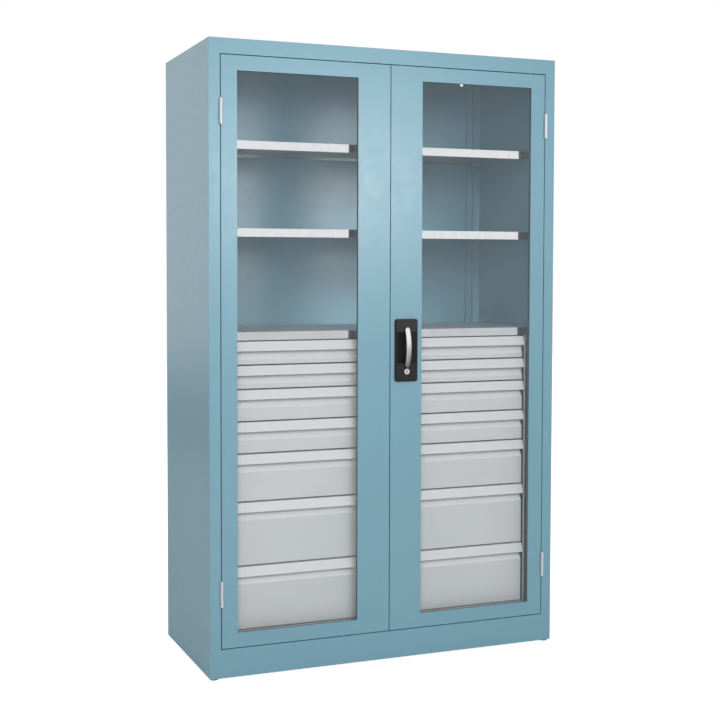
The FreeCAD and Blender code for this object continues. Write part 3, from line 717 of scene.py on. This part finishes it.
def make_lock_screws(material):
    """Screws that hold the gearbox and the rod guides to the door."""
    form = bmesh.new()
    low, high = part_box("lock_gearbox")
    for x in (low.x + GEARBOX_SCREW_INSET, high.x - GEARBOX_SCREW_INSET):
        for z in (low.z + GEARBOX_SCREW_INSET, high.z - GEARBOX_SCREW_INSET):
            screw(form, (x, high.y, z), LOCK_SCREW)
    low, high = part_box("rod_guides")
    for z in (low.z + GUIDE_SCREW_INSET, high.z - GUIDE_SCREW_INSET):
        screw(form, ((low.x + high.x) / 2, high.y, z), LOCK_SCREW)
    new_piece("lock_screws", form, "right_door", material, True)


# A glazing clip's section in millimetres: outwards from the window's edge, and back from the door's front
CLIP = [
    (3.0, 12.7),
    (3.0, 11.2),
    (14.5, 11.2),
    (14.5, 1.5),
    (28.0, 1.5),
    (28.0, 3.0),
    (16.0, 3.0),
    (16.0, 12.7),
]
CLIP_SCREW = (22.0, 3.0)
CLIP_WIDTH = 18 * MM
CLIP_INSET = 90 * MM
CLIPS_UPRIGHT = 6
CLIPS_ACROSS = 2
# How far a pane reaches behind the edge of its window
PANE_OVERLAP = 10 * MM


def clip(form, screws, edge, outwards, front):
    """A folded clip and its screw, at a place on the window's edge, with the way out from the window."""
    along = Vector(BACKWARDS).cross(outwards)

    def at(share):
        start = edge + Vector((0, front, 0)) + along * CLIP_WIDTH * share
        return lambda u, d: start + outwards * u * MM + Vector((0, d * MM, 0))

    drawn(form, CLIP, at(-0.5), at(0.5))
    screw(screws, at(0.0)(*CLIP_SCREW), LOCK_SCREW)


def make_glazing_clips(clip_material, screw_material):
    """Clips round each pane, on the inside of the doors."""
    for side in ("left", "right"):
        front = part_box(f"{side}_door_panel")[0].y
        low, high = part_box(f"{side}_window_pane")
        x_ends = {-1: low.x + PANE_OVERLAP, 1: high.x - PANE_OVERLAP}
        z_ends = {-1: low.z + PANE_OVERLAP, 1: high.z - PANE_OVERLAP}
        form, screws = bmesh.new(), bmesh.new()
        for way, x in x_ends.items():
            for z in steps(z_ends[-1] + CLIP_INSET, z_ends[1] - CLIP_INSET, CLIPS_UPRIGHT):
                clip(form, screws, Vector((x, 0, z)), Vector((way, 0, 0)), front)
        for way, z in z_ends.items():
            for x in steps(x_ends[-1] + CLIP_INSET, x_ends[1] - CLIP_INSET, CLIPS_ACROSS):
                clip(form, screws, Vector((x, 0, z)), Vector((0, 0, way)), front)
        piece = new_piece(f"{side}_glazing_clips", form, f"{side}_door", clip_material, False)
        round_edges(piece, *CLIP_EDGE)
        new_piece(f"{side}_clip_screws", screws, f"{side}_door", screw_material, True)


# Strips along the front of the drawer block's walls: a dark filler in the gap beside the drawers, which
# stands in for the shade there, and a pale edge on the wall's flange, a painted highlight. Their sections are
# in millimetres, outwards from the wall and back.
SHADE_FILLER = [
    (0.4, 1.6),
    (71.0, 1.6),
    (71.0, 22.0),
    (69.4, 22.0),
    (69.4, 3.2),
    (2.0, 3.2),
    (2.0, 9.0),
    (0.4, 9.0),
]
PALE_STRIP = [
    (-5.4, 0.0),
    (-1.0, 0.0),
    (-1.0, -1.0),
    (-5.4, -1.0),
]
# How far the strips end from the walls' ends
STRIP_END = 1 * MM


def make_block_strips(name, section, edge, material):
    """A strip of one section along the front of both walls of the drawer block."""
    low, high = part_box("block_side_walls")

    def at(x, way, z):
        return lambda u, d: Vector((x + way * u * MM, low.y + d * MM, z))

    form = bmesh.new()
    for x, way in ((low.x, -1), (high.x, 1)):
        drawn(form, section, at(x, way, low.z + STRIP_END), at(x, way, high.z - STRIP_END))
    piece = new_piece(name, form, "cabinet", material, False)
    round_edges(piece, *edge)


RIVET = 4.5 * MM
RIVET_INSET = 14 * MM
RIVETS_UPRIGHT = 15
RIVETS_ACROSS = 9
RIVETS_PARTITION = 8


def make_back_rivets(material):
    """Rivets that hold the back panel to the sides, the roof, the floor and the partition."""
    low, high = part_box("back_panel")
    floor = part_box("floor_panel")[0].z
    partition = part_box("centre_partition")[1].z
    left, right = low.x + RIVET_INSET, high.x - RIVET_INSET
    bottom, top = low.z + RIVET_INSET, high.z - RIVET_INSET
    places = {(x, z) for x in (left, right) for z in steps(bottom, top, RIVETS_UPRIGHT)}
    places |= {(x, z) for x in steps(left, right, RIVETS_ACROSS) for z in (floor, top)}
    places |= {(0.0, z) for z in steps(floor, partition - RIVET_INSET, RIVETS_PARTITION)}
    form = bmesh.new()
    for x, z in sorted(places):
        rivet(form, (x, high.y, z), RIVET)
    new_piece("back_rivets", form, "cabinet", material, True)


def make_pieces(materials):
    """All pieces that the CAD nodes leave to the scene."""
    make_lever(materials["lever_pull"])
    make_keyway(materials["black_plastic"])
    make_pin_caps(materials["hinge_steel"])
    make_lock_screws(materials["hinge_steel"])
    make_glazing_clips(materials["galvanised"], materials["hinge_steel"])
    # The fillers are painted shade in the gap beside the drawers, and the pale edges a painted highlight on
    # the flanges.
    make_block_strips("block_shade_fillers", SHADE_FILLER, FILLER_EDGE, materials["dark_plastic"])
    make_block_strips("block_edges", PALE_STRIP, PALE_STRIP_EDGE, materials["edge_paint"])
    make_back_rivets(materials["body_paint"])


# Stage

FLOOR_HALF = 12.0
FLOOR_TONE = (0.85, 0.85, 0.85)
FLOOR_ROUGHNESS = 0.6
FLOOR_GLOW = 0.78
WORLD_LIGHT = 0.28
WHITE = (1.0, 1.0, 1.0, 1.0)


def make_floor():
    """A pale floor that looks white to the camera and keeps the shadow."""
    mesh = bpy.data.meshes.new("floor")
    ends = (-FLOOR_HALF, FLOOR_HALF)
    mesh.from_pydata([(x, y, 0.0) for y in ends for x in ends], [], [(0, 1, 3, 2)])
    floor = bpy.data.objects.new("floor", mesh)
    bpy.context.collection.objects.link(floor)
    material = new_material("floor", FLOOR_TONE, FLOOR_ROUGHNESS)
    mesh.materials.append(material)
    tree, shader = parts_of(material)
    glow = add(tree, "ShaderNodeEmission", Strength=FLOOR_GLOW)
    dark = add(tree, "ShaderNodeEmission", Strength=0.0)
    path = add(tree, "ShaderNodeLightPath")
    seen = add(tree, "ShaderNodeMixShader")
    tree.links.new(path.outputs["Is Camera Ray"], seen.inputs["Fac"])
    tree.links.new(dark.outputs["Emission"], seen.inputs[1])
    tree.links.new(glow.outputs["Emission"], seen.inputs[2])
    both = add(tree, "ShaderNodeAddShader")
    tree.links.new(shader.outputs["BSDF"], both.inputs[0])
    tree.links.new(seen.outputs["Shader"], both.inputs[1])
    tree.links.new(both.outputs["Shader"], tree.nodes["Material Output"].inputs["Surface"])


def make_world():
    """A soft even light, and plain white where the camera, a gloss or a pane looks past the cabinet."""
    world = bpy.data.worlds.new("world")
    bpy.context.scene.world = world
    world.use_nodes = True
    tree = world.node_tree
    light = tree.nodes["Background"]
    light.inputs["Color"].default_value = WHITE
    light.inputs["Strength"].default_value = WORLD_LIGHT
    white = add(tree, "ShaderNodeBackground", Color=WHITE, Strength=1.0)
    path = add(tree, "ShaderNodeLightPath")
    seen = path.outputs["Is Camera Ray"]
    for ray in ("Is Glossy Ray", "Is Transmission Ray"):
        either = add(tree, "ShaderNodeMath", operation="MAXIMUM")
        tree.links.new(seen, either.inputs[0])
        tree.links.new(path.outputs[ray], either.inputs[1])
        seen = either.outputs["Value"]
    mix = add(tree, "ShaderNodeMixShader")
    tree.links.new(seen, mix.inputs["Fac"])
    tree.links.new(light.outputs["Background"], mix.inputs[1])
    tree.links.new(white.outputs["Background"], mix.inputs[2])
    tree.links.new(mix.outputs["Shader"], tree.nodes["World Output"].inputs["Surface"])


# Lamps: the place, what it aims at, its width and height, and its power
CABINET_FRONT = (0.0, -0.23, 1.2)
CABINET_MIDDLE = (0.0, 0.0, 1.1)
BACK_ABOVE_DRAWERS = (0.05, 0.24, 1.05)
LAMPS = {
    "softbox": ((0.2, -3.9, 2.4), CABINET_FRONT, (2.0, 1.6), 67.0),
    "fill": ((-2.0, -4.0, 1.7), CABINET_FRONT, (1.6, 1.6), 52.0),
    "side_fill": ((-4.2, 0.6, 2.3), CABINET_MIDDLE, (1.6, 1.6), 31.0),
    "far_side_fill": ((4.2, 0.6, 1.8), CABINET_MIDDLE, (1.6, 1.6), 22.0),
    "rear_fill": ((-0.5, 4.4, 2.2), CABINET_MIDDLE, (1.6, 1.6), 30.0),
    "sheen": ((1.25, -3.9, 1.83), CABINET_FRONT, (1.5, 0.68), 29.5),
    "wall_wash": ((-2.8, -3.0, 2.5), BACK_ABOVE_DRAWERS, (1.0, 0.8), 4.7),
}
SHEEN_SLOTS = ("body_paint", "drawer_paint", "black_plastic", "hinge_steel")
WASH_NODES = ("back_panel",)
WASH_SPREAD = math.radians(30.0)


def make_lamp(name, place, target, size, power):
    """A soft lamp that lights surfaces and isn't mirrored in them."""
    data = bpy.data.lights.new(name, "AREA")
    data.shape = "RECTANGLE"
    data.size, data.size_y = size
    data.energy = power
    lamp = bpy.data.objects.new(name, data)
    lamp.location = place
    aim = Vector(target) - Vector(place)
    lamp.rotation_euler = aim.to_track_quat("-Z", "Y").to_euler()
    lamp.visible_glossy = False
    bpy.context.collection.objects.link(lamp)
    return lamp


def light_only(lamp, nodes):
    """Keeps a lamp's light to some of the nodes."""
    lit = bpy.data.collections.new(f"{lamp.name}_lit")
    for name in nodes:
        lit.objects.link(frame["nodes"][name])
    lamp.light_linking.receiver_collection = lit


def make_lights():
    """The lamps. The sheen is only mirrored, in some slots, and the wash only lights the back panel."""
    lamps = {name: make_lamp(name, *values) for name, values in LAMPS.items()}
    sheen = lamps["sheen"]
    sheen.visible_glossy = True
    sheen.visible_diffuse = False
    parts = frame["record"]["subparts"]
    light_only(sheen, [part["node"] for part in parts if part["material_slot"] in SHEEN_SLOTS])
    wash = lamps["wall_wash"]
    wash.data.spread = WASH_SPREAD
    light_only(wash, WASH_NODES)


make_camera()
materials = make_materials()
dress_nodes(materials)
soften_nodes()
make_pieces(materials)
make_floor()
make_world()
make_lights()
bpy.context.scene.view_settings.view_transform = "Standard"
